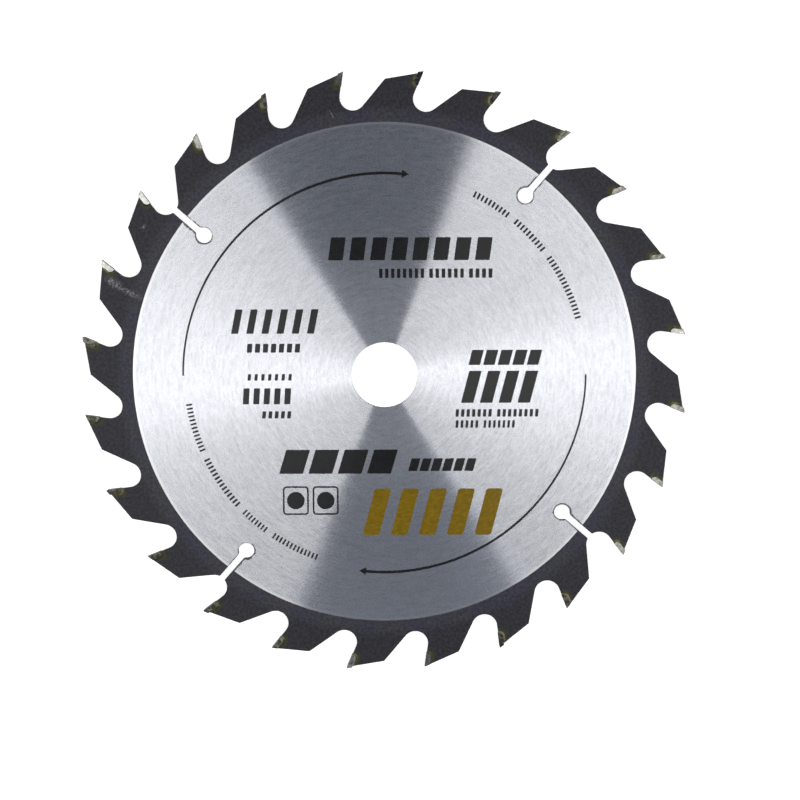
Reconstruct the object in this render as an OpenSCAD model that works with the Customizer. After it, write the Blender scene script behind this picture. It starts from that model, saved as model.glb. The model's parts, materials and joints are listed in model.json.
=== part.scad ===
// Circular saw blade with brazed carbide tips, lying flat with its ground face up.
// The origin is on the bore axis, in the plane that the tips rest on. Millimetres, +Z up.
// Seen from above, the teeth point clockwise.

/* [Blade] */
// Diameter of the circle through the tip points
blade_d = 184; // [176:1:200]
// Number of teeth
teeth = 24; // [16:4:28]
// Diameter of the arbor bore
bore_d = 20; // [15:0.5:30]
// Thickness of the steel plate at the rim
plate_t = 1.4; // [1:0.1:2]
// Diameter of the bright ground zone
ground_d = 152.4; // [120:0.2:154]
// Depth that grinding takes off each face of the plate
ground_depth = 0.05; // [0.02:0.01:0.1]

/* [Teeth] */
// Hook angle of the cutting face, from the radius through the tip
hook_angle = 15; // [10:1:20]
// Depth of a gullet below the tip circle
gullet_depth = 11.9; // [10:0.1:13]
// Radius of the round gullet bottom
gullet_r = 3.9; // [3:0.1:4.5]
// Set-back of the steel face behind the cutting face of the tip
face_recess = 0.15; // [0.1:0.05:0.4]
// Drop of the steel land below the tip point
land_drop = 0.35; // [0.3:0.05:0.8]
// Relief angle of the land
land_angle = 16.7; // [12:0.1:20]
// Length of the land, from the tip back to the shoulder
land_l = 11.7; // [9:0.1:13]

/* [Carbide tips] */
// Length of a tip along its cutting face
tip_l = 4.7; // [3.6:0.1:5.6]
// Thickness of a tip behind its cutting face
tip_t = 1.5; // [1.2:0.1:2]
// Radius of the tip's inner rear corner
tip_corner_r = 1.1; // [0.4:0.1:1.1]
// Overhang of a tip past the plate on each side
tip_overhang = 0.4; // [0.25:0.05:0.7]
// Relief angle of the top of a tip
top_relief = 14; // [10:1:18]
// Alternate bevel angle across the top of a tip
top_bevel = 10; // [5:1:12]
// Taper of each side of a tip towards the blade centre
radial_relief = 1; // [0.5:0.25:1.5]
// Taper of each side of a tip towards its back
side_relief = 2.5; // [1:0.5:3]

/* [Brazing] */
// Thickness of the filler between a tip and its seat
braze_gap = 0.12; // [0.08:0.02:0.2]
// Reach of the filler fillet over the face of the plate
braze_reach = 0.5; // [0.3:0.05:0.8]
// Height of the filler fillet up the back of the tip
braze_rise = 0.15; // [0.05:0.01:0.15]

/* [Expansion slots] */
// Number of slots
slots = 4; // [2:1:4]
// Width of a slot
slot_w = 2; // [1:0.1:2.4]
// Diameter of the round hole that ends a slot
slot_hole_d = 4.8; // [4:0.1:6]
// Diameter of the circle through the hole centres
slot_pitch_d = 137.6; // [120:0.2:142]
// Angle that a slot leans forward on its way out to the gullet
slot_lean = 2.5; // [0:0.5:6]
// Radius that eases the slot into its hole
slot_flare_r = 1; // [0.3:0.1:1.2]

/* [Hidden] */
$fn = 96;
tip_r = blade_d / 2;
pitch_angle = 360 / teeth;
kerf = plate_t + 2 * tip_overhang;
mid_z = kerf / 2;
first_tip_angle = pitch_angle / 2;
// The fillet stays below the side of the tip, which is lowest at its inner back corner
tip_wall = tip_overhang - tip_l * tan(radial_relief) - tip_t * tan(side_relief);
fillet_rise = min(braze_rise, tip_wall);
// A cutter that is larger than any tip, and an allowance to cut past a face
cutter = 40;
past = 1;
// A round cut is this much larger than one that only touches its lines, so that it crosses them
crossing = 0.002;

// The gullet circle touches the steel face and reaches the gullet depth
gullet_centre_r = tip_r - gullet_depth + gullet_r;
gullet_shift = gullet_r - face_recess - tip_r * sin(hook_angle);
gullet_angle = hook_angle + asin(gullet_shift / gullet_centre_r);

function polar(r, ahead) = [r * sin(ahead), r * cos(ahead)];
function turned(p, ahead) = [p[0] * cos(ahead) + p[1] * sin(ahead), p[1] * cos(ahead) - p[0] * sin(ahead)];
function on_land(back) = [-back * cos(land_angle), tip_r - land_drop - back * sin(land_angle)];

// Points of one tooth, with its tip on +Y and its cutting direction along +X
gullet_ahead = polar(gullet_centre_r, gullet_angle);
gullet_behind = polar(gullet_centre_r, gullet_angle - pitch_angle);
face_start = gullet_ahead + gullet_r * [-cos(hook_angle), sin(hook_angle)];
shoulder = on_land(land_l);

// The steel face runs up to the land line, where the seat is cut later
face_rise = (tip_r - land_drop - face_start[1] + face_start[0] * tan(land_angle))
    / (cos(hook_angle) - sin(hook_angle) * tan(land_angle));
face_end = face_start + face_rise * [sin(hook_angle), cos(hook_angle)];

// The back of the tooth is the tangent from the shoulder to the gullet behind
to_shoulder = shoulder - gullet_behind;
back_angle = atan2(to_shoulder[1], to_shoulder[0]) - acos(gullet_r / norm(to_shoulder));
back_end = gullet_behind + gullet_r * [cos(back_angle), sin(back_angle)];

tooth_points = [gullet_behind, back_end, shoulder, face_end, face_start];

function two_digits(n) = str(n < 10 ? "0" : "", n);
function tip_name(i) = str("carbide_tip_", two_digits(i + 1));
function braze_name(i) = str("braze_", two_digits(i + 1));

// Turns a tooth drawn on +Y to its place around the blade
module at_tooth(i)
    rotate(first_tip_angle + i * pitch_angle - 90)
        children();

// Frame of a cutting face: x runs inwards from the tip, y points forwards out of the face
module at_cutting_face()
    translate([0, tip_r])
        rotate(-90 - hook_angle)
            children();

// Lifts a shape that is centred on the plate to the plate's height
module at_plate()
    translate([0, 0, mid_z])
        children();

// Outline of an insert with its round inner corner, grown by a gap behind and below
module insert_outline(gap) {
    corner_r = tip_corner_r + gap;
    back = tip_t + gap;
    end = tip_l + gap;
    translate([-past, -back])
        square([end - corner_r + past, back]);
    translate([-past, corner_r - back])
        square([end + past, back - corner_r]);
    translate([end - corner_r, corner_r - back])
        intersection() {
            circle(corner_r);
            translate([0, -corner_r])
                square(corner_r);
        }
}

// The room that a seat takes out of a tooth, open to the front
module seat_outline() {
    insert_outline(braze_gap);
    translate([-past, -past])
        square([tip_l + braze_gap + past, 2 * past]);
}

// Outline of all teeth, with the gullets still to be cut round
module toothed_outline()
    polygon([
        for (i = [teeth - 1:-1:0])
            for (p = tooth_points)
                turned(p, -i * pitch_angle - first_tip_angle + 90)
    ]);

// One tooth before its seat is cut
module tooth_outline()
    polygon(concat([[0, 0]], tooth_points, [gullet_ahead]));

// A slot with its round end, drawn from the gullet centre along -Y
module slot_outline() {
    hole_r = slot_hole_d / 2;
    reach = gullet_centre_r * cos(slot_lean)
        - sqrt(pow(slot_pitch_d / 2, 2) - pow(gullet_centre_r * sin(slot_lean), 2));
    flare_x = slot_w / 2 + slot_flare_r;
    flare_y = sqrt(pow(hole_r + slot_flare_r, 2) - pow(flare_x, 2));
    translate([-slot_w / 2, -reach])
        square([slot_w, reach]);
    translate([0, -reach]) {
        circle(hole_r);
        difference() {
            polygon([[0, 0], [flare_x, flare_y], [-flare_x, flare_y]]);
            for (side = [-1, 1])
                translate([side * flare_x, flare_y])
                    circle(slot_flare_r + crossing);
        }
    }
}

module blade_outline()
    difference() {
        toothed_outline();
        circle(bore_d / 2);
        for (i = [0:teeth - 1])
            at_tooth(i) {
                translate(gullet_ahead)
                    circle(gullet_r + crossing);
                at_cutting_face()
                    seat_outline();
            }
        for (s = [0:slots - 1])
            at_tooth(floor((s + 0.5) * teeth / slots))
                translate(gullet_ahead)
                    rotate(-gullet_angle - slot_lean)
                        slot_outline();
    }

module blade_body()
    color("dimgray")
        at_plate()
            difference() {
                linear_extrude(plate_t, center = true)
                    blade_outline();
                for (face = [0, 1])
                    mirror([0, 0, face])
                        translate([0, 0, plate_t / 2 - ground_depth])
                            cylinder(d = ground_d, h = past);
            }

// The side of a tip tapers inwards and backwards from its outer front corner
module side_cut()
    at_cutting_face()
        translate([0, 0, kerf / 2])
            rotate([side_relief, radial_relief, 0])
                translate([-cutter / 2, -cutter / 2, 0])
                    cube(cutter);

// The top falls away backwards, and across from the high corner on side +1 or -1
module top_cut(high_side)
    translate([0, tip_r, high_side * kerf / 2])
        rotate([0, 0, top_relief])
            rotate([-high_side * top_bevel, 0, 0])
                translate([-cutter / 2, 0, -cutter / 2])
                    cube(cutter);

module carbide_tip(i)
    color("silver")
        at_plate()
            at_tooth(i)
                difference() {
                    linear_extrude(kerf, center = true)
                        at_cutting_face()
                            insert_outline(0);
                    for (side = [0, 1])
                        mirror([0, 0, side])
                            side_cut();
                    top_cut(i % 2 == 0 ? -1 : 1);
                }

// Section of the filler fillet, from the back of the tip out over the plate
module fillet_section(from)
    polygon([
        [from, 0],
        [from + braze_gap + braze_reach, 0],
        [from, fillet_rise]
    ]);

// The fillet follows the back, the round corner and the inner end of a tip
module fillet_run() {
    corner_x = tip_l - tip_corner_r;
    corner_y = tip_corner_r - tip_t;
    translate([corner_x, 0, 0])
        rotate([90, 0, -90])
            linear_extrude(tip_l)
                fillet_section(tip_t);
    translate([corner_x, corner_y, 0])
        rotate(-90)
            rotate_extrude(angle = 90)
                fillet_section(tip_corner_r);
    rotate([90, 0, 0])
        linear_extrude(-corner_y)
            fillet_section(tip_l);
}

module braze(i)
    color("darkgoldenrod")
        at_plate()
            at_tooth(i)
                intersection() {
                    union() {
                        linear_extrude(plate_t, center = true)
                            at_cutting_face()
                                difference() {
                                    seat_outline();
                                    insert_outline(0);
                                }
                        for (side = [0, 1])
                            mirror([0, 0, side])
                                translate([0, 0, plate_t / 2])
                                    at_cutting_face()
                                        fillet_run();
                    }
                    linear_extrude(kerf, center = true)
                        tooth_outline();
                }

blade_body();
for (i = [0:teeth - 1]) {
    carbide_tip(i);
    braze(i);
}
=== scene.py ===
"""Looks of a carbide-tipped circular saw blade: finishes, print and studio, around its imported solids."""
import json
import math
from collections import namedtuple

import bmesh
import bpy
from bpy.props import FloatProperty, FloatVectorProperty, PointerProperty
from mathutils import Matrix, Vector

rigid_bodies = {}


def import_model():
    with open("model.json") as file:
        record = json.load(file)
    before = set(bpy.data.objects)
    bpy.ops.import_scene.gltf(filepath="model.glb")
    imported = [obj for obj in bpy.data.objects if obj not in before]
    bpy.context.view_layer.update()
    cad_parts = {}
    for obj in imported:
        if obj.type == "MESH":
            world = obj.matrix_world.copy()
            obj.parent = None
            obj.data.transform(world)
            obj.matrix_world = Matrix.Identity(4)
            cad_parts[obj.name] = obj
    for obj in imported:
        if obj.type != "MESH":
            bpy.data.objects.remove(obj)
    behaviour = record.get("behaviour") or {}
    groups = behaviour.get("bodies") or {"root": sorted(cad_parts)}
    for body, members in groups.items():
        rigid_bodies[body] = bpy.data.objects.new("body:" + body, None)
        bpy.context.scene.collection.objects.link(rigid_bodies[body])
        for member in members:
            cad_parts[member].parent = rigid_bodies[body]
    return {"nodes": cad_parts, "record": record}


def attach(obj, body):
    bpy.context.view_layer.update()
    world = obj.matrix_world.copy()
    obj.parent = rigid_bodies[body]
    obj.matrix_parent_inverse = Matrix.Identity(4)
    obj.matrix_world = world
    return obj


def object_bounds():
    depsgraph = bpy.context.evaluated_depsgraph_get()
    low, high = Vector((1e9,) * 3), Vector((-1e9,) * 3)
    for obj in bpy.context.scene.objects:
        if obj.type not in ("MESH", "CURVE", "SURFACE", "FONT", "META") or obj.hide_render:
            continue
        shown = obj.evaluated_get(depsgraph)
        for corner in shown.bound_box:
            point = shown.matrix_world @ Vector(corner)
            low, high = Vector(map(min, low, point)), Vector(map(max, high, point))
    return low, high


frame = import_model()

bl_info = {
    "name": "Circular Saw Blade Looks",
    "version": (1, 0, 0),
    "blender": (4, 5, 0),
    "location": "3D View > Sidebar > Saw Blade",
    "description": "Finishes, print and studio for a carbide-tipped circular saw blade",
    "category": "Object",
}

MM = 0.001
# Heights that differ by less are the same
SAME_HEIGHT = 0.01 * MM

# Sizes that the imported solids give
CAD_BOX = [list(corner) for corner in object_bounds()]
MOUNTS = {mount["name"]: mount for mount in frame["record"]["mounts"]}
BORE_R = MOUNTS["arbor_bore"]["dims"]["r_mm"]
GROUND_Z = MOUNTS["outer_flange_face"]["pos_m"][2]
BODY = frame["nodes"]["blade_body"]
TIPS = [node for name, node in sorted(frame["nodes"].items()) if name.startswith("carbide_tip")]
BRAZES = [node for name, node in sorted(frame["nodes"].items()) if name.startswith("braze")]
PITCH = math.tau / len(TIPS)
TIP_R = CAD_BOX[1][0] / math.cos(PITCH / 2) / MM
GROUND_R = max(
    math.hypot(v.co.x, v.co.y) for v in BODY.data.vertices if abs(v.co.z - GROUND_Z) < SAME_HEIGHT
) / MM

# Tooth and slot sizes in millimetres, as the solids have them
HOOK = math.radians(15)
TIP_LENGTH = 4.7
TIP_THICKNESS = 1.5
SLOTS = 4
FIRST_SLOT = math.radians(52.5)
SLOT_HALF_WIDTH = 1.0
SLOT_HOLE_R = 2.4
SLOT_HOLE_AT = (68.8, -0.62)
SLOT_MOUTH_AT = (84.0, -1.73)

# One run of printed blocks: its two ends, middle line and height in millimetres, how many blocks it has,
# how far their tops lean to the right, and the gap between them
Run = namedtuple("Run", "left right y height blocks lean gap")
# One run of printed blocks along a circle about the bore, with its two angles in degrees
CurvedRun = namedtuple("CurvedRun", "radius height start end blocks gap")
# One rotation arrow: the angles in degrees of its tail and of the point of its head
Arrow = namedtuple("Arrow", "name tail point")
# One scuff on the black rim: its centre, length and width in millimetres, its direction and strength
Scuff = namedtuple("Scuff", "x y length width direction strength")
# One noise: how many features it has to a millimetre, its layers of detail and how strong they are
Grain = namedtuple("Grain", "scale layers strength")
# One noise in streaks around the bore: how many to a millimetre along and across them, and its layers
Streaks = namedtuple("Streaks", "along across layers")
# One ink: how rough and how glossy it is
Ink = namedtuple("Ink", "roughness gloss")

ARROWS = (Arrow("rotation_arrow_upper", 180, 83), Arrow("rotation_arrow_lower", 0, -97.5))
BLACK_RUNS = (
    # The wide line above the bore, with a fine line under it
    Run(-17.0, 32.8, 38.3, 6.9, 8, 1.2, 1.9),
    Run(-1.5, 12.0, 30.9, 2.8, 8, 0.0, 0.8),
    Run(13.6, 24.0, 30.9, 2.8, 6, 0.0, 0.8),
    Run(25.6, 32.6, 30.9, 2.8, 4, 0.0, 0.8),
    # The lines to the left of the bore
    Run(-46.6, -19.6, 16.4, 7.4, 6, 1.9, 2.4),
    Run(-41.7, -25.4, 8.3, 2.7, 7, 0.3, 0.9),
    Run(-41.6, -28.0, -0.6, 2.0, 7, 0.3, 1.1),
    Run(-43.1, -28.3, -6.4, 4.9, 5, 0.4, 1.3),
    Run(-37.3, -28.3, -12.1, 2.2, 5, 0.3, 0.8),
    # The lines to the right of the bore
    Run(25.3, 47.9, 5.3, 4.6, 5, 1.4, 0.9),
    Run(22.9, 46.9, -3.7, 9.8, 4, 3.0, 1.9),
    Run(21.5, 32.6, -11.7, 2.3, 7, 0.2, 0.7),
    Run(34.1, 46.8, -11.7, 2.3, 8, 0.2, 0.7),
    Run(21.5, 28.5, -15.1, 2.3, 5, 0.2, 0.7),
    Run(30.0, 39.6, -15.1, 2.3, 7, 0.2, 0.7),
    # The lines below the bore
    Run(-32.5, 4.3, -26.6, 7.4, 4, 2.7, 1.6),
    Run(7.0, 28.1, -27.6, 3.9, 6, 1.3, 0.7),
)
GOLD_RUNS = (Run(-7.3, 36.6, -42.2, 14.4, 5, 4.6, 3.4),)
CURVED_RUNS = (
    CurvedRun(61.0, 1.9, 64, 52, 10, 0.65),
    CurvedRun(61.0, 1.9, 50, 38, 10, 0.65),
    CurvedRun(61.0, 1.9, 36, 16, 17, 0.65),
    CurvedRun(60.0, 1.9, 188, 203, 13, 0.65),
    CurvedRun(60.0, 1.9, 205, 222, 14, 0.65),
    CurvedRun(60.0, 1.9, 224, 233, 8, 0.65),
    CurvedRun(60.0, 1.9, 235, 250, 13, 0.65),
)
# Centres of the two framed discs, in millimetres
BADGES = ((-27.2, -38.6), (-18.1, -38.6))
# Brightness of the light around its axis, in degrees from the right, on the far and on the near side
LIGHT_FAR = (
    (0, 3.0), (12, 2.65), (24, 2.8), (36, 3.15), (50, 3.15), (62, 3.2),
    (118, 2.85), (128, 3.0), (140, 3.25), (150, 3.3), (165, 3.45), (174, 3.4), (180, 3.0),
)
LIGHT_NEAR = (
    (0, 3.0), (12, 2.55), (24, 1.7), (36, 0.9), (46, 0.4), (54, 0.3), (62, 0.1),
    (118, 0.0), (132, 0.1), (144, 0.5), (156, 1.2), (168, 1.9), (180, 3.0),
)
# Where the gap between the two sides of the light starts and is full, in degrees from the right or left
GAP_EDGE = (61.8, 63.0)
# Where the near gap is lightest, beside the panel on the right, and where it is even again, in degrees
GAP_GLOW = (68.0, 82.0)
# Where the near side of the light turns into the far side, from -1 at the near horizon to 1 at the far one
FAR_SPAN = (-0.2, 0.2)
# Share of the dim overhead light that is dimmest, and how softly the panels end towards the horizon
OVERHEAD_CORE = 0.2
HORIZON_SOFTNESS = 0.1
# The least length that is divided by
NEARLY_NOTHING = 0.0001
FLOOR_ROUGHNESS = 0.9
CLIP_START = 10 * MM

# Where finishes of the plate turn into each other, in millimetres from the bore axis, a tip or a slot
GROUND_EDGE = (GROUND_R - 0.02, GROUND_R + 0.02)
# Band inside the ground edge where the steel is painted lighter, a painted highlight along the edge
PAINTED_HIGHLIGHT_BAND = (GROUND_R - 1.0, GROUND_R - 0.4)
TOOTH_BAND = (GROUND_R + 2.0, GROUND_R + 6.0)
HEAT_BAND = (0.3, 1.7)
# Band beside the slots whose steel is darker, a dark outline along them
SLOT_OUTLINE_BAND = (0.18, 0.5)
POLISH_BAND = (12.0, 52.0)
# Radius within which the bore wall gets its steel colour darkened with painted shade
BORE_WALL_R = BORE_R + 0.3
# Stands in for a distance to something that isn't there
FAR_OFF = 100.0
# How far noise shifts the edges of the heat tint and of the dark outline beside the slots, in millimetres
HEAT_SHIFT = 1.6
SLOT_OUTLINE_SHIFT = 1.2
# Share of a finish where it is strongest
# Share of the painted highlight along the ground edge
PAINTED_HIGHLIGHT_SHARE = 0.7
TOOTH_SHARE = 0.8
HEAT_SHARE = 0.85
SLOT_OUTLINE_SHARE = 0.9
# Share of the bright polish near the bore and further out
POLISH_SHARES = (0.91, 1.0)
# Where a scuff starts to fade and where it ends, as a share of the way from its centre to its edge
SCUFF_FADE = (0.1, 1.0)
# Surfaces whose normal has less height than this are walls
WALL_LIMIT = 0.5

# Patterns of the finishes
FINE_MARKS = Streaks(0.6, 1.2, 3.0)
COARSE_MARKS = Streaks(0.2, 1.1, 2.0)
CARBIDE_LINES = Streaks(0.7, 5.0, 3.0)
INK_MARKS = Streaks(0.6, 1.8, 3.0)
STREAK_STRENGTH = 0.6
STEEL_MOTTLE = Grain(0.55, 2.4, 0.55)
OXIDE_GRAIN = Grain(3.0, 3.0, 0.6)
OXIDE_PATCHES = Grain(0.09, 3.0, 0.55)
OXIDE_TONES = Grain(1.1, 4.0, 0.7)
SCUFF_BREAKS = Grain(1.3, 4.0, 0.7)
CARBIDE_CLOUDS = Grain(0.6, 3.0, 0.6)
CARBIDE_STAINS = Grain(0.9, 3.0, 0.6)
FILLER_LUMPS = Grain(1.6, 3.0, 0.6)
FILLER_BURNS = Grain(0.35, 2.0, 0.5)
# The value that a noise has on average
NOISE_MIDDLE = 0.5
# Values of a pattern over which one look turns into the other: the closer they are, the harder it looks
MARKS_SPAN = (0.2, 0.8)
GRAIN_SPAN = (0.3, 0.7)
PATCHES_SPAN = (0.4, 0.6)
TONES_SPAN = (0.36, 0.64)
SCUFF_SPAN = (0.4, 0.7)
CARBIDE_SPAN = (0.35, 0.65)
BURNS_SPAN = (0.42, 0.62)
INK_SPAN = (0.35, 0.75)
# Share of the second pattern where two are mixed
COARSE_SHARE = 0.5
MOTTLE_SHARE = 0.75
CLOUD_SHARE = 0.5
# How dark and how light the oxide is from place to place, and how much stains change a tip's tarnish
TONE_LEVELS = (0.8, 1.34)
STAIN_STRENGTH = 1.5

# How rough each finish is, from its smoothest to its roughest places
STEEL_ROUGHNESS = (0.245, 0.295)
OXIDE_ROUGHNESS = (0.46, 0.60)
CARBIDE_ROUGHNESS = (0.28, 0.38)
FILLER_ROUGHNESS = (0.45, 0.65)
# How rough the edge band of the steel with the painted highlight would be alone, and its share there
EDGE_ROUGHNESS = 0.48
EDGE_ROUGHNESS_SHARE = 0.2
OXIDE_GLOSS = 0.15
# Depth of each finish's relief in millimetres, and the oxide's share of the plate's
PLATE_RELIEF = 0.004
OXIDE_RELIEF_SHARE = 0.3
CARBIDE_RELIEF = 0.0015
FILLER_RELIEF = 0.03
INK_RELIEF = 0.006
# How far reflections are stretched across the grinding marks, from 0 for round to 1
STEEL_STRETCH = 0.8
FULL_STRETCH = 1.0
INK_STRETCH = 0.9
# Turn of the surface shader's stretch from along the marks to across them, in whole turns
ACROSS_MARKS = 0.25

BLACK_INK = Ink(0.4, 0.42)
GOLD_INK = Ink(0.5, 0.2)
# How much lighter worn ink is, as a factor and an addition, and how far its roughness goes up and down
INK_WEAR = 1.5
INK_WEAR_RISE = 0.002
INK_ROUGHNESS_SPREAD = 0.06
# How many straight steps round shapes have
CORNER_STEPS = 3
FRAME_CORNER_STEPS = 5
DISC_SIDES = 40
ARROW_STEPS = 64
# Length of a three-cornered arrow head, in distances from its middle to its corners
HEAD_LENGTH = 1.5

SCUFFS = (
    Scuff(-81.4, 28.2, 8.0, 4.0, -35, 0.42),
    Scuff(-76.6, 25.2, 11.0, 2.6, -24, 0.3),
    Scuff(-15.6, 78.6, 4.2, 0.5, -62, 0.4),
    Scuff(-72.3, 45.1, 2.6, 1.6, 30, 0.3),
    Scuff(65.3, 60.7, 2.0, 0.6, 100, 0.25),
)
# How dark heat and flux left each tip, from 0 for clean to 1, in the order of the tips around the blade
TARNISH = (
    0.3, 0.75, 0.55, 0.75, 0.65, 0.85, 0.55, 0.95, 0.5, 0.0, 0.0, 0.9,
    0.95, 1.0, 1.0, 0.95, 0.9, 0.55, 0.55, 0.85, 0.8, 0.45, 0.5, 0.6,
)


class PlateFinish(bpy.types.PropertyGroup):
    """Finish of the steel plate."""

    steel: FloatVectorProperty(
        name="Ground steel", description="Colour of the circular ground steel",
        subtype="COLOR", size=3, default=(0.745, 0.76, 0.806), min=0, max=1)
    steel_shade: FloatVectorProperty(
        name="Grinding marks", description="Colour in the marks that the grinding stone leaves",
        subtype="COLOR", size=3, default=(0.555, 0.567, 0.602), min=0, max=1)
    # Painted highlight: a lighter colour along the outer edge of the ground steel
    painted_edge_highlight: FloatVectorProperty(
        name="Bright edge", description="Colour of the ground steel along its outer edge",
        subtype="COLOR", size=3, default=(0.88, 0.88, 0.88), min=0, max=1)
    # Dark outline along the slots and their round ends
    slot_outline: FloatVectorProperty(
        name="Slot burns", description="Colour of the burnt steel beside the slots",
        subtype="COLOR", size=3, default=(0.06, 0.058, 0.06), min=0, max=1)
    rim: FloatVectorProperty(
        name="Black rim", description="Colour of the black oxide on the rim and teeth",
        subtype="COLOR", size=3, default=(0.034, 0.034, 0.039), min=0, max=1)
    rim_cool: FloatVectorProperty(
        name="Cool patches", description="Colour of the bluish patches in the black oxide",
        subtype="COLOR", size=3, default=(0.032, 0.031, 0.043), min=0, max=1)
    tooth: FloatVectorProperty(
        name="Black teeth", description="Colour of the black oxide out on the teeth",
        subtype="COLOR", size=3, default=(0.0215, 0.0215, 0.025), min=0, max=1)
    heat_tint: FloatVectorProperty(
        name="Heat tint", description="Colour that brazing leaves on the steel behind a tip",
        subtype="COLOR", size=3, default=(0.045, 0.042, 0.013), min=0, max=1)
    scuffed: FloatVectorProperty(
        name="Scuffs", description="Colour of bare steel in the scuffs on the rim",
        subtype="COLOR", size=3, default=(0.62, 0.62, 0.63), min=0, max=1)
    cut_wall: FloatVectorProperty(
        name="Cut walls", description="Colour of the cut walls of gullets and slots",
        subtype="COLOR", size=3, default=(0.022, 0.021, 0.022), min=0, max=1)
    # The bore wall's own steel colour, darkened with painted shade along the edge of the bore
    bore_wall_and_shade: FloatVectorProperty(
        name="Bore wall", description="Colour of the wall of the arbor bore",
        subtype="COLOR", size=3, default=(0.12, 0.12, 0.12), min=0, max=1)


class TipFinish(bpy.types.PropertyGroup):
    """Finish of the carbide tips and the filler that holds them."""

    carbide: FloatVectorProperty(
        name="Carbide", description="Colour of the ground carbide",
        subtype="COLOR", size=3, default=(0.86, 0.85, 0.82), min=0, max=1)
    carbide_shade: FloatVectorProperty(
        name="Carbide shade", description="Colour in the grinding lines of the carbide",
        subtype="COLOR", size=3, default=(0.46, 0.45, 0.42), min=0, max=1)
    carbide_edge: FloatVectorProperty(
        name="Carbide edges", description="Colour of the cutting faces and tops of the tips",
        subtype="COLOR", size=3, default=(0.05, 0.049, 0.045), min=0, max=1)
    tarnish: FloatVectorProperty(
        name="Tarnish", description="Colour of the tips that heat and flux left dark",
        subtype="COLOR", size=3, default=(0.062, 0.060, 0.041), min=0, max=1)
    filler: FloatVectorProperty(
        name="Filler", description="Colour of the brass-like filler",
        subtype="COLOR", size=3, default=(0.13, 0.124, 0.073), min=0, max=1)
    filler_burnt: FloatVectorProperty(
        name="Burnt filler", description="Colour of the filler where flux and heat left it dark",
        subtype="COLOR", size=3, default=(0.045, 0.044, 0.03), min=0, max=1)


class PrintSizes(bpy.types.PropertyGroup):
    """Sizes and colours of the print on the upper face."""

    black: FloatVectorProperty(
        name="Black ink", description="Colour of the black ink",
        subtype="COLOR", size=3, default=(0.003, 0.003, 0.004), min=0, max=1)
    gold: FloatVectorProperty(
        name="Gold ink", description="Colour of the gold ink",
        subtype="COLOR", size=3, default=(0.118, 0.074, 0.002), min=0, max=1)
    thickness: FloatProperty(
        name="Ink thickness", description="Thickness of the ink",
        unit="LENGTH", precision=5, default=0.03 * MM, min=0.01 * MM, max=0.1 * MM)
    arrow_radius: FloatProperty(
        name="Arrow radius", description="Radius of the rotation arrows about the bore",
        unit="LENGTH", precision=4, default=61 * MM, min=50 * MM, max=66 * MM)
    arrow_width: FloatProperty(
        name="Arrow line", description="Width of an arrow's line at its head",
        unit="LENGTH", precision=5, default=0.84 * MM, min=0.3 * MM, max=2 * MM)
    tail_width: FloatProperty(
        name="Arrow tail", description="Width of an arrow's line at its tail",
        unit="LENGTH", precision=5, default=0.52 * MM, min=0.1 * MM, max=2 * MM)
    head_size: FloatProperty(
        name="Arrow head", description="Distance from the middle of an arrow's head to its corners",
        unit="LENGTH", precision=5, default=1.4 * MM, min=0.5 * MM, max=4 * MM)
    corner: FloatProperty(
        name="Block corner", description="Size of the corners of a small printed block",
        unit="LENGTH", precision=5, default=0.2 * MM, min=0.05 * MM, max=1 * MM)
    gold_corner: FloatProperty(
        name="Gold corner", description="Size of the corners of a gold block",
        unit="LENGTH", precision=5, default=0.8 * MM, min=0.05 * MM, max=2 * MM)
    badge_width: FloatProperty(
        name="Frame width", description="Width of the two small frames",
        unit="LENGTH", precision=5, default=7.9 * MM, min=4 * MM, max=10 * MM)
    badge_height: FloatProperty(
        name="Frame height", description="Height of the two small frames",
        unit="LENGTH", precision=5, default=8.9 * MM, min=4 * MM, max=10 * MM)
    badge_corner: FloatProperty(
        name="Frame corner", description="Size of the corners of the small frames",
        unit="LENGTH", precision=5, default=1.1 * MM, min=0.2 * MM, max=3 * MM)
    badge_line: FloatProperty(
        name="Frame line", description="Width of the line of the small frames",
        unit="LENGTH", precision=5, default=0.5 * MM, min=0.2 * MM, max=2 * MM)
    badge_disc: FloatProperty(
        name="Disc radius", description="Radius of the disc in a small frame",
        unit="LENGTH", precision=5, default=2.7 * MM, min=0.5 * MM, max=4 * MM)


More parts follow.
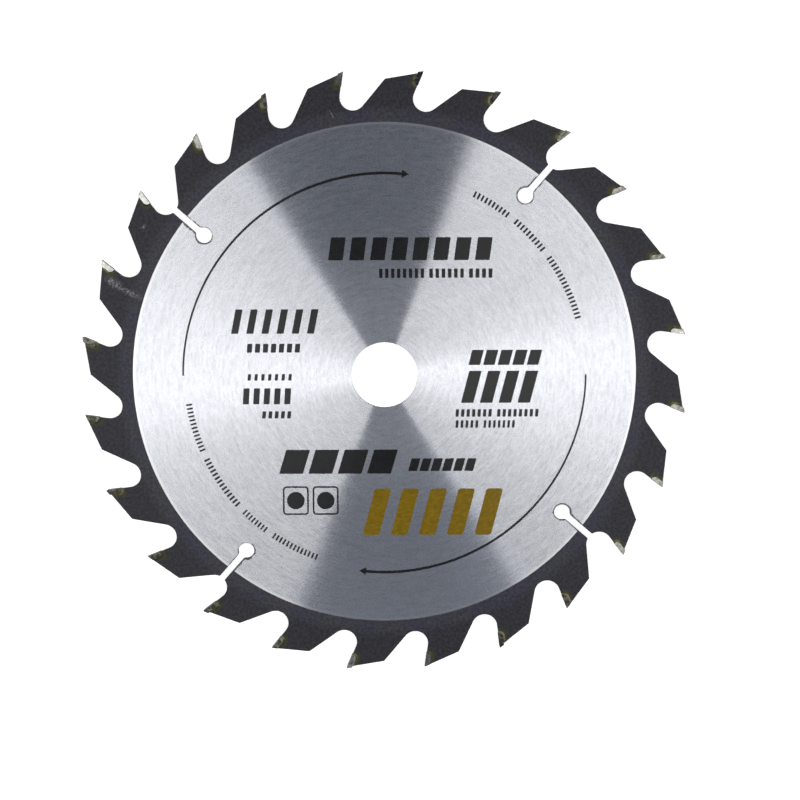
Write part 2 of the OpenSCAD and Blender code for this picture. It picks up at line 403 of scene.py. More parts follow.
class StudioSettings(bpy.types.PropertyGroup):
    """Camera, floor and light."""

    lens: FloatProperty(
        name="Lens", description="Focal length of the camera on a 36 mm sensor, in millimetres",
        default=104.0, min=20, max=300)
    camera_at: FloatVectorProperty(
        name="Camera", description="Place of the camera",
        subtype="TRANSLATION", unit="LENGTH", size=3, precision=5, default=(0.0014, 0.0923, 0.6962))
    camera_turn: FloatVectorProperty(
        name="Camera turn", description="Rotation of the camera",
        subtype="EULER", unit="ROTATION", size=3,
        default=(math.radians(-8.19), math.radians(-0.29), math.radians(-0.14)))
    floor_size: FloatProperty(
        name="Floor", description="Length of the floor's side",
        unit="LENGTH", default=12.0, min=1, max=40)
    floor_colour: FloatVectorProperty(
        name="Floor colour", description="Colour of the floor",
        subtype="COLOR", size=3, default=(0.92, 0.92, 0.92), min=0, max=1)
    floor_glow: FloatProperty(
        name="Floor glow", description="Strength of the floor's own light, which lifts the blade's shadow",
        default=0.45, min=0, max=2)
    backdrop: FloatVectorProperty(
        name="Backdrop", description="Colour that the camera sees beyond the floor",
        subtype="COLOR", size=3, default=(0.95, 0.95, 0.95), min=0, max=1)
    mirror_tilt: FloatProperty(
        name="Light tilt",
        description="Tilt of the light's axis, so that the camera sees it in the flat steel",
        subtype="ANGLE", unit="ROTATION", default=math.radians(7.6), min=0, max=1)
    overhead_reach: FloatProperty(
        name="Overhead dim", description="Angle from the light's axis within which the light is dim",
        subtype="ANGLE", unit="ROTATION", default=math.radians(24), min=0, max=1)
    overhead_share: FloatProperty(
        name="Overhead share", description="Share of the light that is left at the light's axis",
        subtype="FACTOR", default=0.1, min=0, max=1)
    panel_reach: FloatProperty(
        name="Panel reach", description="Angle from the light's axis at which the light fades out",
        subtype="ANGLE", unit="ROTATION", default=math.radians(62), min=0.5, max=1.5)
    horizon_share: FloatProperty(
        name="Horizon share", description="Share of the light that is left beyond the panels' reach",
        subtype="FACTOR", default=0.2, min=0, max=1)
    panel_turn: FloatProperty(
        name="Panel turn", description="Turn of both panels about the bore axis",
        subtype="ANGLE", unit="ROTATION", default=math.radians(6.2), min=-1, max=1)
    gap_far: FloatVectorProperty(
        name="Far gap", description="Light between the panels on the far side",
        subtype="COLOR", size=3, default=(0.0, 0.0, 0.0), min=0, max=2)
    gap_near: FloatVectorProperty(
        name="Near gap", description="Light between the panels on the near side",
        subtype="COLOR", size=3, default=(0.72, 0.77, 0.88), min=0, max=2)
    gap_glow: FloatProperty(
        name="Gap glow", description="How much lighter the near gap is beside the panel on the right",
        default=1.2, min=1, max=3)


class PatternNodes:
    """A node tree, with short words for the sums that patterns need."""

    def __init__(self, tree):
        self.nodes = tree.nodes
        self.links = tree.links

    def add(self, kind, **settings):
        node = self.nodes.new("ShaderNode" + kind)
        for key, value in settings.items():
            setattr(node, key, value)
        return node

    def put(self, socket, value):
        """Links a source to a socket, or sets its plain value."""
        if isinstance(value, bpy.types.NodeSocket):
            self.links.new(value, socket)
        elif socket.type == "RGBA":
            socket.default_value = (*value[:3], 1.0)
        else:
            socket.default_value = value

    def fill(self, node, values):
        for socket, value in zip(node.inputs, values):
            self.put(socket, value)

    def math(self, operation, *values, clamp=False):
        node = self.add("Math", operation=operation, use_clamp=clamp)
        self.fill(node, values)
        return node.outputs[0]

    def vector(self, operation, *values):
        node = self.add("VectorMath", operation=operation)
        self.fill(node, values)
        gives_number = operation in ("LENGTH", "DISTANCE", "DOT_PRODUCT")
        return node.outputs["Value" if gives_number else "Vector"]

    def split(self, vector):
        node = self.add("SeparateXYZ")
        self.put(node.inputs[0], vector)
        return node.outputs[:]

    def join(self, x, y, z):
        node = self.add("CombineXYZ")
        self.fill(node, (x, y, z))
        return node.outputs[0]

    def fade(self, value, span, levels=(0.0, 1.0)):
        """Goes smoothly from the first level to the second as the value crosses the span."""
        node = self.add("MapRange", interpolation_type="SMOOTHSTEP")
        self.fill(node, (value, *span, *levels))
        return node.outputs[0]

    def noise(self, vector, grain):
        node = self.add("TexNoise")
        self.put(node.inputs["Vector"], vector)
        self.put(node.inputs["Scale"], grain.scale)
        self.put(node.inputs["Detail"], grain.layers)
        self.put(node.inputs["Roughness"], grain.strength)
        return node.outputs[0]

    def unsettle(self, value, noise, amount, clamp=False):
        """Shifts a value up and down with a noise, by up to half the amount."""
        shift = self.math("SUBTRACT", noise, NOISE_MIDDLE)
        return self.math("MULTIPLY_ADD", shift, amount, value, clamp=clamp)

    def blend(self, share, first, second, kind="MIX"):
        """A colour between two colours. Its sockets go by number, as their names aren't unique."""
        node = self.add("Mix", data_type="RGBA", blend_type=kind)
        self.put(node.inputs[0], share)
        self.put(node.inputs[6], first)
        self.put(node.inputs[7], second)
        return node.outputs[2]

    def between(self, share, first, second):
        """A number between two numbers."""
        node = self.add("Mix", data_type="FLOAT")
        self.fill(node, (share,))
        self.put(node.inputs[2], first)
        self.put(node.inputs[3], second)
        return node.outputs[0]

    def turned(self, vector, axis, angle):
        node = self.add("VectorRotate", rotation_type=axis + "_AXIS")
        self.put(node.inputs["Vector"], vector)
        self.put(node.inputs["Angle"], angle)
        return node.outputs[0]

    def levels(self, value, pairs):
        """Follows a broken line through pairs of a value from 0 to 1 and the level there."""
        node = self.add("ValToRGB")
        self.put(node.inputs[0], value)
        elements = node.color_ramp.elements
        elements.remove(elements[-1])
        for number, (at, level) in enumerate(pairs):
            element = elements.new(at) if number else elements[0]
            element.position = at
            element.color = (level, level, level, 1.0)
        return node.outputs[0]

    def place(self):
        """Object coordinates in millimetres."""
        return self.vector("MULTIPLY", self.add("TexCoord").outputs["Object"], (1 / MM,) * 3)

    def flat_place(self):
        """Object coordinates in millimetres, laid flat into the plane of the blade."""
        return self.vector("MULTIPLY", self.place(), (1.0, 1.0, 0.0))

    def angle(self, flat):
        """Angle of a place about the bore axis."""
        x, y = self.split(flat)[:2]
        return self.math("ARCTAN2", y, x)

    def upright(self):
        """1 on walls and 0 on faces that lie flat."""
        normal = self.add("NewGeometry").outputs["True Normal"]
        return self.math("LESS_THAN", self.math("ABSOLUTE", self.split(normal)[2]), WALL_LIMIT)


class SurfaceNodes(PatternNodes):
    """The nodes of one material, around its surface shader."""

    def __init__(self, name):
        self.material = bpy.data.materials.new(name)
        self.material.use_nodes = True
        super().__init__(self.material.node_tree)
        self.surface = self.nodes["Principled BSDF"]

    def set(self, **values):
        """Sets or links the shader's sockets, named with _ for a space."""
        for name, value in values.items():
            self.put(self.surface.inputs[name.replace("_", " ")], value)

    def bump(self, height, depth):
        """Raises the surface by depth millimetres where height is 1."""
        node = self.add("Bump")
        self.put(node.inputs["Strength"], 1.0)
        self.put(node.inputs["Distance"], depth * MM)
        self.put(node.inputs["Height"], height)
        self.normal = node.outputs[0]
        self.set(Normal=self.normal)

    def brush_around_bore(self, flat, stretch):
        """Stretches reflections across grinding marks that run around the bore."""
        along = self.vector("CROSS_PRODUCT", (0.0, 0.0, 1.0), flat)
        self.tangent = self.vector("NORMALIZE", along)
        self.set(Tangent=self.tangent, Anisotropic=stretch, Anisotropic_Rotation=ACROSS_MARKS)

    def add_brushed_metal(self, share, colour, roughness, stretch):
        """Mixes in metal with the same marks, whose reflections can be longer than the surface shader's."""
        metal = self.add("BsdfAnisotropic", distribution="MULTI_GGX")
        self.put(metal.inputs["Color"], colour)
        self.put(metal.inputs["Roughness"], roughness)
        self.put(metal.inputs["Anisotropy"], stretch)
        self.put(metal.inputs["Normal"], self.normal)
        self.put(metal.inputs["Tangent"], self.tangent)
        mixed = self.add("MixShader")
        self.fill(mixed, (share, self.surface.outputs[0], metal.outputs[0]))
        self.put(self.nodes["Material Output"].inputs["Surface"], mixed.outputs[0])


def streaks(m, flat, pattern):
    """Noise in streaks around the bore."""
    run = m.vector("MULTIPLY", flat, (pattern.along, pattern.along, 0.0))
    rise = m.join(0.0, 0.0, m.math("MULTIPLY", m.vector("LENGTH", flat), pattern.across))
    return m.noise(m.vector("ADD", run, rise), Grain(1.0, pattern.layers, STREAK_STRENGTH))


def folded(m, flat, first, step):
    """The place in a pattern that repeats around the bore, with its middle on +X."""
    radius = m.vector("LENGTH", flat)
    turned = m.math("WRAP", m.math("SUBTRACT", m.angle(flat), first), step / 2, -step / 2)
    x = m.math("MULTIPLY", radius, m.math("COSINE", turned))
    y = m.math("MULTIPLY", radius, m.math("SINE", turned))
    return m.join(x, y, 0.0)


def distance_behind_tip(m, place):
    """Distance in millimetres from an insert, back and inwards over the steel."""
    from_tip = m.vector("SUBTRACT", place, (TIP_R, 0.0, 0.0))
    inwards = m.vector("DOT_PRODUCT", from_tip, (-math.cos(HOOK), math.sin(HOOK), 0.0))
    back = m.vector("DOT_PRODUCT", from_tip, (math.sin(HOOK), math.cos(HOOK), 0.0))
    past_end = m.math("MAXIMUM", m.math("SUBTRACT", inwards, TIP_LENGTH), 0.0)
    past_back = m.math("MAXIMUM", m.math("SUBTRACT", back, TIP_THICKNESS), m.math("MULTIPLY", back, -1.0))
    past_back = m.math("MAXIMUM", past_back, 0.0)
    return m.vector("LENGTH", m.join(past_end, past_back, 0.0))


def distance_from_slot(m, place):
    """Distance in millimetres from the wall of a slot and its round end."""
    hole = (*SLOT_HOLE_AT, 0.0)
    run = [mouth - start for mouth, start in zip(SLOT_MOUTH_AT, SLOT_HOLE_AT)]
    length = math.hypot(*run)
    across_slot = (-run[1] / length, run[0] / length, 0.0)
    from_hole = m.math("SUBTRACT", m.vector("DISTANCE", place, hole), SLOT_HOLE_R)
    offset = m.vector("DOT_PRODUCT", m.vector("SUBTRACT", place, hole), across_slot)
    from_line = m.math("SUBTRACT", m.math("ABSOLUTE", offset), SLOT_HALF_WIDTH)
    inside_hole_circle = m.math("LESS_THAN", m.split(place)[0], SLOT_HOLE_AT[0])
    from_line = m.math("MULTIPLY_ADD", inside_hole_circle, FAR_OFF, from_line)
    return m.math("MINIMUM", from_hole, from_line)


def scuff_share(m, flat, scuff):
    """How much one scuff lightens the rim at a place."""
    mapping = m.add("Mapping", vector_type="TEXTURE")
    m.put(mapping.inputs["Vector"], flat)
    m.put(mapping.inputs["Location"], (scuff.x, scuff.y, 0.0))
    m.put(mapping.inputs["Rotation"], (0.0, 0.0, math.radians(scuff.direction)))
    m.put(mapping.inputs["Scale"], (scuff.length / 2, scuff.width / 2, 1.0))
    return m.fade(m.vector("LENGTH", mapping.outputs[0]), SCUFF_FADE, (scuff.strength, 0.0))


def oxide_colour(m, finish, place, flat, grain):
    """Colour of the black rim, with cool patches, darker teeth, heat tint behind the tips and scuffs."""
    colour = m.blend(m.fade(m.noise(place, OXIDE_PATCHES), PATCHES_SPAN), finish.rim, finish.rim_cool)
    out_on_teeth = m.fade(m.vector("LENGTH", flat), TOOTH_BAND, (0.0, TOOTH_SHARE))
    colour = m.blend(out_on_teeth, colour, finish.tooth)
    tones = m.fade(m.noise(place, OXIDE_TONES), TONES_SPAN, TONE_LEVELS)
    colour = m.blend(1.0, colour, tones, "MULTIPLY")
    behind = distance_behind_tip(m, folded(m, flat, PITCH / 2, PITCH))
    heat = m.fade(m.unsettle(behind, grain, HEAT_SHIFT), HEAT_BAND, (HEAT_SHARE, 0.0))
    colour = m.blend(heat, colour, finish.heat_tint)
    broken = m.fade(m.noise(flat, SCUFF_BREAKS), SCUFF_SPAN)
    for scuff in SCUFFS:
        colour = m.blend(m.math("MULTIPLY", scuff_share(m, flat, scuff), broken), colour, finish.scuffed)
    return colour


def steel_colour(m, finish, flat, marks, mottle, edge):
    """Colour of the ground steel, with grinding marks, a painted highlight along its outer edge and a dark
    outline beside the slots.
    """
    colour = m.blend(m.fade(marks, MARKS_SPAN), finish.steel_shade, finish.steel)
    # Painted highlight along the outer edge of the ground steel
    colour = m.blend(m.math("MULTIPLY", edge, PAINTED_HIGHLIGHT_SHARE), colour, finish.painted_edge_highlight)
    from_slot = distance_from_slot(m, folded(m, flat, FIRST_SLOT, math.tau / SLOTS))
    # Darker steel in a ragged band along each slot
    darkened = m.fade(m.unsettle(from_slot, mottle, SLOT_OUTLINE_SHIFT), SLOT_OUTLINE_BAND, (SLOT_OUTLINE_SHARE, 0.0))
    return m.blend(darkened, colour, finish.slot_outline)


def plate_material(finish):
    """Steel ground bright in circles inside a black oxide rim, with dark cut walls."""
    m = SurfaceNodes("ground_steel_and_black_rim")
    place = m.place()
    flat = m.flat_place()
    radius = m.vector("LENGTH", flat)
    wall = m.upright()
    bore_wall_and_shade = m.math("LESS_THAN", radius, BORE_WALL_R)
    ground = m.fade(radius, GROUND_EDGE, (1.0, 0.0))
    # Band along the ground edge that gets the painted highlight and a rougher finish
    edge = m.fade(radius, PAINTED_HIGHLIGHT_BAND)
    fine = streaks(m, flat, FINE_MARKS)
    marks = m.between(COARSE_SHARE, fine, streaks(m, flat, COARSE_MARKS))
    mottle = m.noise(place, STEEL_MOTTLE)
    grain = m.noise(place, OXIDE_GRAIN)

    steel = steel_colour(m, finish, flat, marks, mottle, edge)
    rim = oxide_colour(m, finish, place, flat, grain)
    # Cut walls keep their dark colour; the bore wall takes its colour darkened with painted shade
    cut = m.blend(bore_wall_and_shade, finish.cut_wall, finish.bore_wall_and_shade)
    m.set(Base_Color=m.blend(wall, m.blend(ground, rim, steel), cut))
    m.set(Metallic=m.math("MULTIPLY", bore_wall_and_shade, wall))
    m.set(Roughness=m.fade(grain, GRAIN_SPAN, OXIDE_ROUGHNESS), Specular_IOR_Level=OXIDE_GLOSS)
    m.brush_around_bore(flat, FULL_STRETCH)
    oxide_height = m.math("MULTIPLY", grain, OXIDE_RELIEF_SHARE)
    steel_height = m.between(MOTTLE_SHARE, fine, mottle)
    m.bump(m.between(ground, oxide_height, steel_height), PLATE_RELIEF)

    bright = m.math("MULTIPLY", ground, m.math("SUBTRACT", 1.0, wall))
    polished = m.math("MULTIPLY", bright, m.fade(radius, POLISH_BAND, POLISH_SHARES))
    rough_edge = m.math("MULTIPLY", edge, EDGE_ROUGHNESS_SHARE)
    roughness = m.between(rough_edge, m.fade(marks, MARKS_SPAN, STEEL_ROUGHNESS), EDGE_ROUGHNESS)
    m.add_brushed_metal(polished, steel, roughness, STEEL_STRETCH)
    return m.material


def carbide_material(finish):
    """Ground carbide with fine grinding lines, more or less tarnished from tip to tip."""
    m = SurfaceNodes("ground_carbide")
    place = m.place()
    flat = m.flat_place()
    lines = streaks(m, flat, CARBIDE_LINES)
    tone = m.between(CLOUD_SHARE, lines, m.noise(place, CARBIDE_CLOUDS))
    clean = m.blend(m.fade(tone, CARBIDE_SPAN), finish.carbide_shade, finish.carbide)
    turn = m.math("DIVIDE", m.math("WRAP", m.angle(flat), math.tau, 0.0), math.tau)
    tarnish = m.levels(turn, [((number + 0.5) / len(TIPS), dark) for number, dark in enumerate(TARNISH)])
    dark = m.unsettle(tarnish, m.noise(place, CARBIDE_STAINS), STAIN_STRENGTH, clamp=True)
    side = m.blend(dark, clean, finish.tarnish)
    m.set(Base_Color=m.blend(m.upright(), side, finish.carbide_edge))
    m.set(Metallic=1.0, Roughness=m.fade(lines, GRAIN_SPAN, CARBIDE_ROUGHNESS))
    m.brush_around_bore(flat, FULL_STRETCH)
    m.bump(lines, CARBIDE_RELIEF)
    return m.material


def filler_material(finish):
    """Dull brass-like filler, dark where the flux burnt."""
    m = SurfaceNodes("brass_filler")
    place = m.place()
    lumps = m.noise(place, FILLER_LUMPS)
    darkening = m.noise(place, FILLER_BURNS)
    m.set(Base_Color=m.blend(m.fade(darkening, BURNS_SPAN), finish.filler_burnt, finish.filler))
    m.set(Metallic=1.0, Roughness=m.fade(lumps, GRAIN_SPAN, FILLER_ROUGHNESS))
    m.bump(lumps, FILLER_RELIEF)
    return m.material


def ink_material(name, colour, ink):
    """Thin ink that lets the grinding marks show faintly."""
    m = SurfaceNodes(name)
    flat = m.flat_place()
    marks = streaks(m, flat, INK_MARKS)
    worn = [INK_WEAR * part + INK_WEAR_RISE for part in colour]
    m.set(Base_Color=m.blend(m.fade(marks, INK_SPAN), colour, worn))
    roughness = (ink.roughness - INK_ROUGHNESS_SPREAD, ink.roughness + INK_ROUGHNESS_SPREAD)
    m.set(Roughness=m.fade(marks, GRAIN_SPAN, roughness), Specular_IOR_Level=ink.gloss)
    m.brush_around_bore(flat, INK_STRETCH)
    m.bump(marks, INK_RELIEF)
    return m.material


def dress(nodes, material):
    """Gives CAD nodes a material."""
    for node in nodes:
        node.data.materials.clear()
        node.data.materials.append(material)


def ink_height(sizes):
    """Height of the middle of the ink, which sinks into the steel by a sixth of its thickness."""
    return GROUND_Z + sizes.thickness / 3


def start_print(name, ink_z):
    """Adds an empty mesh on the upper face and opens it in edit mode."""
    bpy.ops.object.select_all(action="DESELECT")
    bpy.ops.mesh.primitive_plane_add(size=MM, location=(0.0, 0.0, ink_z))
    piece = bpy.context.object
    piece.name = piece.data.name = name
    bpy.ops.object.transform_apply(location=True, rotation=True, scale=True)
    bpy.ops.object.mode_set(mode="EDIT")
    bpy.ops.mesh.delete(type="VERT")
    return piece


def finish_print(piece, material, thickness):
    """Gives the print its thickness, closes it and lets it ride on the blade."""
    bpy.ops.object.mode_set(mode="OBJECT")
    ink = piece.modifiers.new("ink", "SOLIDIFY")
    ink.thickness = thickness
    ink.offset = 0.0
    bpy.ops.object.modifier_apply(modifier=ink.name)
    bpy.ops.object.mode_set(mode="EDIT")
    bpy.ops.mesh.select_all(action="SELECT")
    bpy.ops.mesh.normals_make_consistent(inside=False)
    bpy.ops.object.mode_set(mode="OBJECT")
    piece.data.materials.append(material)
    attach(piece, "root")


def selected_vertices(piece):
    """The open mesh and its selected vertices."""
    mesh = bmesh.from_edit_mesh(piece.data)
    return mesh, [v for v in mesh.verts if v.select]


def keep_selected(piece, wanted):
    """Narrows the selection to the vertices that wanted accepts."""
    mesh, chosen = selected_vertices(piece)
    for vertex in chosen:
        vertex.select_set(wanted(vertex))
    mesh.select_flush(False)
    bmesh.update_edit_mesh(piece.data)


def part_blocks(gap):
    """Parts the selected faces from each other by a gap in millimetres."""
    bpy.ops.mesh.inset(thickness=gap / 2 * MM, use_individual=True, use_select_inset=True)
    bpy.ops.mesh.delete(type="FACE")


def add_run(piece, run, ink_z):
    """Prints a straight run of leaning blocks."""
    centre = ((run.left + run.right - run.lean) / 2 * MM, run.y * MM, ink_z)
    length = run.right - run.left - run.lean + run.gap
    bpy.ops.mesh.select_all(action="DESELECT")
    bpy.ops.mesh.primitive_grid_add(
        x_subdivisions=run.blocks, y_subdivisions=1, size=1.0, location=centre)
    bpy.ops.transform.resize(
        value=(length * MM, (run.height + run.gap) * MM, 1.0), center_override=centre)
    keep_selected(piece, lambda vertex: vertex.co.y > centre[1])
    bpy.ops.transform.translate(value=(run.lean * MM, 0.0, 0.0))
    bpy.ops.mesh.select_linked()
    part_blocks(run.gap)


def add_curved_run(run, ink_z):
    """Prints a run of blocks along a circle about the bore."""
    step = math.radians(run.end - run.start) / run.blocks
    width = abs(step) * run.radius - run.gap
    centre = (run.radius * MM, 0.0, ink_z)
    bpy.ops.mesh.select_all(action="DESELECT")
    bpy.ops.mesh.primitive_plane_add(size=1.0, location=centre)
    bpy.ops.transform.resize(value=(run.height * MM, width * MM, 1.0), center_override=centre)
    turn_about_bore(math.radians(run.start) + step / 2, ink_z)
    more = run.blocks - 1
    bpy.ops.mesh.spin(
        steps=more, dupli=True, angle=-step * more, center=(0.0, 0.0, ink_z), axis=(0.0, 0.0, 1.0))


def turn_about_bore(angle, ink_z):
    """Turns the selected part of the open mesh about the bore axis."""
    bpy.ops.transform.rotate(
        value=-angle, orient_axis="Z", orient_type="GLOBAL", center_override=(0.0, 0.0, ink_z))


def round_corners(size):
    """Rounds the corners of every flat block in the open mesh."""
    bpy.ops.mesh.select_all(action="SELECT")
    bpy.ops.mesh.bevel(affect="VERTICES", offset=size, segments=CORNER_STEPS)


def add_badge(centre, sizes):
    """Prints a rounded frame with a disc in it."""
    bpy.ops.mesh.select_all(action="DESELECT")
    bpy.ops.mesh.primitive_plane_add(size=sizes.badge_width, location=centre)
    stretch = sizes.badge_height / sizes.badge_width
    bpy.ops.transform.resize(value=(1.0, stretch, 1.0), center_override=centre)
    bpy.ops.mesh.bevel(affect="VERTICES", offset=sizes.badge_corner, segments=FRAME_CORNER_STEPS)
    bpy.ops.mesh.select_linked()
    bpy.ops.mesh.inset(thickness=sizes.badge_line)
    bpy.ops.mesh.delete(type="FACE")
    bpy.ops.mesh.select_all(action="DESELECT")
    bpy.ops.mesh.primitive_circle_add(
        vertices=DISC_SIDES, radius=sizes.badge_disc, fill_type="NGON", location=centre)


def add_arrow(piece, arrow, sizes, ink_z):
    """Prints a line that widens along a circle to a three-cornered head, clockwise about the bore."""
    radius = sizes.arrow_radius
    sweep = math.radians(arrow.tail - arrow.point)
    line_sweep = sweep - HEAD_LENGTH * sizes.head_size / radius
    bpy.ops.mesh.primitive_plane_add(size=sizes.arrow_width, location=(radius, sizes.arrow_width / 2, ink_z))
    keep_selected(piece, lambda vertex: vertex.co.y > sizes.arrow_width / 2)
    bpy.ops.mesh.delete(type="VERT")
    bpy.ops.mesh.select_all(action="SELECT")
    bpy.ops.mesh.spin(
        steps=ARROW_STEPS, angle=line_sweep, center=(0.0, 0.0, ink_z), axis=(0.0, 0.0, 1.0))
    bpy.ops.mesh.select_all(action="SELECT")
    mesh, line = selected_vertices(piece)
    for vertex in line:
        share = -math.atan2(vertex.co.y, vertex.co.x) / line_sweep
        width = sizes.tail_width + (sizes.arrow_width - sizes.tail_width) * share
        reach = math.hypot(vertex.co.x, vertex.co.y)
        moved = radius + (reach - radius) * width / sizes.arrow_width
        vertex.co.xy = vertex.co.xy * (moved / reach)
    bmesh.update_edit_mesh(piece.data)
    bpy.ops.mesh.select_all(action="DESELECT")
    head_angle = sizes.head_size / radius - sweep
    bpy.ops.mesh.primitive_circle_add(
        vertices=3, radius=sizes.head_size, fill_type="NGON",
        location=(radius * math.cos(head_angle), radius * math.sin(head_angle), ink_z),
        rotation=(0.0, 0.0, head_angle - math.pi))
    bpy.ops.mesh.select_all(action="SELECT")
    turn_about_bore(math.radians(arrow.tail), ink_z)


class BLADE_OT_finish_plate(bpy.types.Operator):
    """Give the plate its ground steel and black rim"""

    bl_idname = "saw_blade.finish_plate"
    bl_label = "Finish Plate"

    def execute(self, context):
        dress([BODY], plate_material(context.scene.saw_plate))
        return {"FINISHED"}


class BLADE_OT_finish_tips(bpy.types.Operator):
    """Give the tips their ground carbide"""

    bl_idname = "saw_blade.finish_tips"
    bl_label = "Finish Tips"

    def execute(self, context):
        dress(TIPS, carbide_material(context.scene.saw_tips))
        return {"FINISHED"}


class BLADE_OT_finish_filler(bpy.types.Operator):
    """Give the filler behind the tips its brass-like finish"""

    bl_idname = "saw_blade.finish_filler"
    bl_label = "Finish Filler"

    def execute(self, context):
        dress(BRAZES, filler_material(context.scene.saw_tips))
        return {"FINISHED"}


class BLADE_OT_print_lines(bpy.types.Operator):
    """Print the runs of plain black blocks and the two framed discs"""

    bl_idname = "saw_blade.print_lines"
    bl_label = "Print Lines"

    def execute(self, context):
        sizes = context.scene.saw_print
        ink_z = ink_height(sizes)
        black = ink_material("black_ink", sizes.black, BLACK_INK)
        lines = start_print("print_lines", ink_z)
        for run in BLACK_RUNS:
            add_run(lines, run, ink_z)
        for run in CURVED_RUNS:
            add_curved_run(run, ink_z)
        round_corners(sizes.corner)
        finish_print(lines, black, sizes.thickness)
        frames = start_print("print_frames", ink_z)
        for x, y in BADGES:
            add_badge((x * MM, y * MM, ink_z), sizes)
        finish_print(frames, black, sizes.thickness)
        return {"FINISHED"}


class BLADE_OT_print_stripes(bpy.types.Operator):
    """Print the leaning gold stripes"""

    bl_idname = "saw_blade.print_stripes"
    bl_label = "Print Gold Stripes"

    def execute(self, context):
        sizes = context.scene.saw_print
        ink_z = ink_height(sizes)
        stripes = start_print("print_stripes", ink_z)
        for run in GOLD_RUNS:
            add_run(stripes, run, ink_z)
        round_corners(sizes.gold_corner)
        gold = ink_material("gold_ink", sizes.gold, GOLD_INK)
        finish_print(stripes, gold, sizes.thickness)
        return {"FINISHED"}


class BLADE_OT_print_arrows(bpy.types.Operator):
    """Print the two arrows that show which way the blade turns"""

    bl_idname = "saw_blade.print_arrows"
    bl_label = "Print Rotation Arrows"

    def execute(self, context):
        sizes = context.scene.saw_print
        ink_z = ink_height(sizes)
        black = ink_material("arrow_ink", sizes.black, BLACK_INK)
        for arrow in ARROWS:
            piece = start_print(arrow.name, ink_z)
            add_arrow(piece, arrow, sizes, ink_z)
            finish_print(piece, black, sizes.thickness)
        return {"FINISHED"}


def cosines(angles):
    """Cosines of angles in degrees."""
    return [math.cos(math.radians(angle)) for angle in angles]


def studio_world(studio):
    """Two wide soft panels at the sides, dim around their axis and in the gaps between them."""
    world = bpy.data.worlds.new("studio")
    world.use_nodes = True
    m = PatternNodes(world.node_tree)
    background = m.nodes["Background"]
    tilted = m.turned(m.add("TexCoord").outputs["Generated"], "X", -studio.mirror_tilt)
    x, y, z = m.split(m.turned(tilted, "Z", -studio.panel_turn))
    out = m.math("MAXIMUM", m.vector("LENGTH", m.join(x, y, 0.0)), NEARLY_NOTHING)
    sideways = m.math("DIVIDE", x, out)
    half_turn = m.math("DIVIDE", m.math("ARCCOSINE", sideways), math.pi)
    near_light = m.levels(half_turn, [(degrees / 180, level) for degrees, level in LIGHT_NEAR])
    far_light = m.levels(half_turn, [(degrees / 180, level) for degrees, level in LIGHT_FAR])
    gap_start, gap_full = cosines(GAP_EDGE)
    in_gap = m.fade(m.math("ABSOLUTE", sideways), (gap_full, gap_start), (1.0, 0.0))
    far = m.fade(y, FAR_SPAN)
    glow_full, glow_gone = cosines(GAP_GLOW)
    glow = m.fade(sideways, (glow_gone, glow_full), (1.0, studio.gap_glow))
    near_gap = m.blend(1.0, studio.gap_near, glow, "MULTIPLY")
    gap = m.blend(far, near_gap, studio.gap_far)
    lit = m.blend(in_gap, m.blend(far, near_light, far_light), gap)
    dim = math.cos(studio.overhead_reach)
    dimmest = 1 - (1 - dim) * OVERHEAD_CORE
    bright_share = m.fade(z, (dim, dimmest), (1.0, studio.overhead_share))
    reach = math.cos(studio.panel_reach)
    horizon = (reach - HORIZON_SOFTNESS, reach + HORIZON_SOFTNESS)
    low_share = m.fade(z, horizon, (studio.horizon_share, 1.0))
    lit = m.blend(m.math("MULTIPLY", bright_share, low_share), (0.0, 0.0, 0.0), lit)
    seen = m.blend(m.add("LightPath").outputs["Is Camera Ray"], lit, studio.backdrop)
    m.put(background.inputs["Color"], seen)
    return world


def floor_material(studio):
    """Pale matt floor that glows a little, so that the blade throws hardly a shadow."""
    m = SurfaceNodes("pale_floor")
    m.set(Base_Color=studio.floor_colour, Roughness=FLOOR_ROUGHNESS, Specular_IOR_Level=0.0)
    m.set(Emission_Color=(1.0, 1.0, 1.0), Emission_Strength=studio.floor_glow)
    return m.material


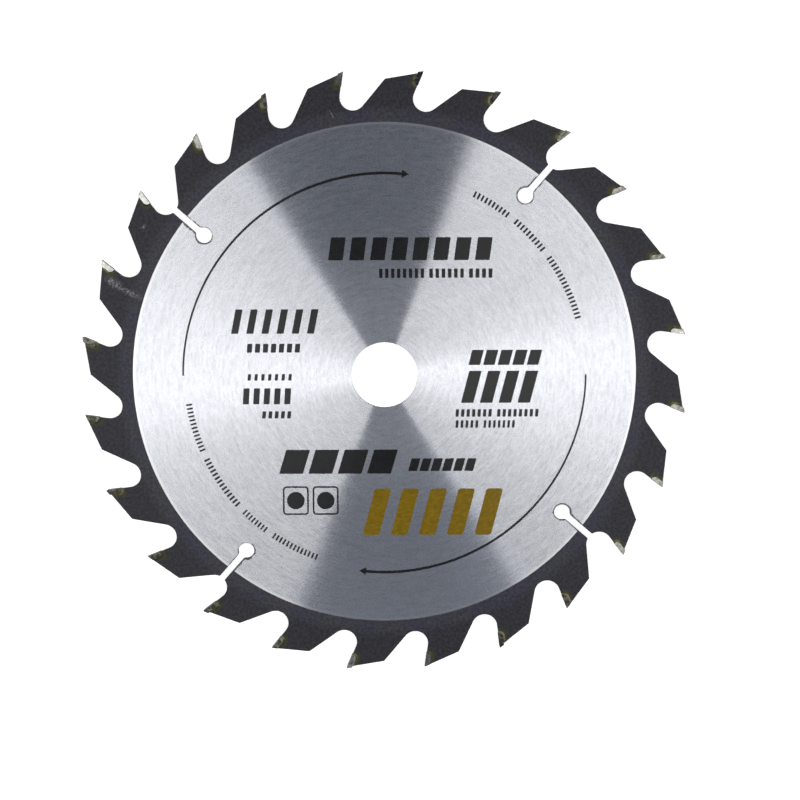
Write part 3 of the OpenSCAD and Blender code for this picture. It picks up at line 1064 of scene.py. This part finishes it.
class BLADE_OT_set_stage(bpy.types.Operator):
    """Set the floor, the light and the camera"""

    bl_idname = "saw_blade.set_stage"
    bl_label = "Set Stage"

    def execute(self, context):
        scene = context.scene
        studio = scene.saw_studio
        bpy.ops.object.select_all(action="DESELECT")
        bpy.ops.mesh.primitive_plane_add(size=studio.floor_size, location=(0.0, 0.0, CAD_BOX[0][2]))
        floor = context.object
        floor.name = "floor"
        floor.data.materials.append(floor_material(studio))
        scene.world = studio_world(studio)
        bpy.ops.object.camera_add(location=studio.camera_at, rotation=studio.camera_turn)
        camera = context.object
        camera.data.lens = studio.lens
        camera.data.clip_start = CLIP_START
        scene.camera = camera
        scene.view_settings.view_transform = "Standard"
        return {"FINISHED"}


class BLADE_PT_looks(bpy.types.Panel):
    """Steps and settings of the saw blade's looks"""

    bl_idname = "BLADE_PT_looks"
    bl_label = "Saw Blade"
    bl_space_type = "VIEW_3D"
    bl_region_type = "UI"
    bl_category = "Saw Blade"

    def draw(self, context):
        for operator in OPERATORS:
            self.layout.operator(operator.bl_idname)
        for name in SETTINGS:
            settings = getattr(context.scene, name)
            box = self.layout.box()
            for key in settings.__annotations__:
                box.prop(settings, key)


OPERATORS = (
    BLADE_OT_finish_plate,
    BLADE_OT_finish_tips,
    BLADE_OT_finish_filler,
    BLADE_OT_print_lines,
    BLADE_OT_print_stripes,
    BLADE_OT_print_arrows,
    BLADE_OT_set_stage,
)
SETTINGS = {
    "saw_plate": PlateFinish,
    "saw_tips": TipFinish,
    "saw_print": PrintSizes,
    "saw_studio": StudioSettings,
}


def register():
    for cls in (*SETTINGS.values(), *OPERATORS, BLADE_PT_looks):
        bpy.utils.register_class(cls)
    for name, group in SETTINGS.items():
        setattr(bpy.types.Scene, name, PointerProperty(type=group))


def unregister():
    for name in SETTINGS:
        delattr(bpy.types.Scene, name)
    for cls in (BLADE_PT_looks, *reversed(OPERATORS), *SETTINGS.values()):
        bpy.utils.unregister_class(cls)


def main():
    register()
    bpy.ops.saw_blade.finish_plate()
    bpy.ops.saw_blade.finish_tips()
    bpy.ops.saw_blade.finish_filler()
    bpy.ops.saw_blade.print_lines()
    bpy.ops.saw_blade.print_stripes()
    bpy.ops.saw_blade.print_arrows()
    bpy.ops.saw_blade.set_stage()


if __name__ == "__main__":
    main()
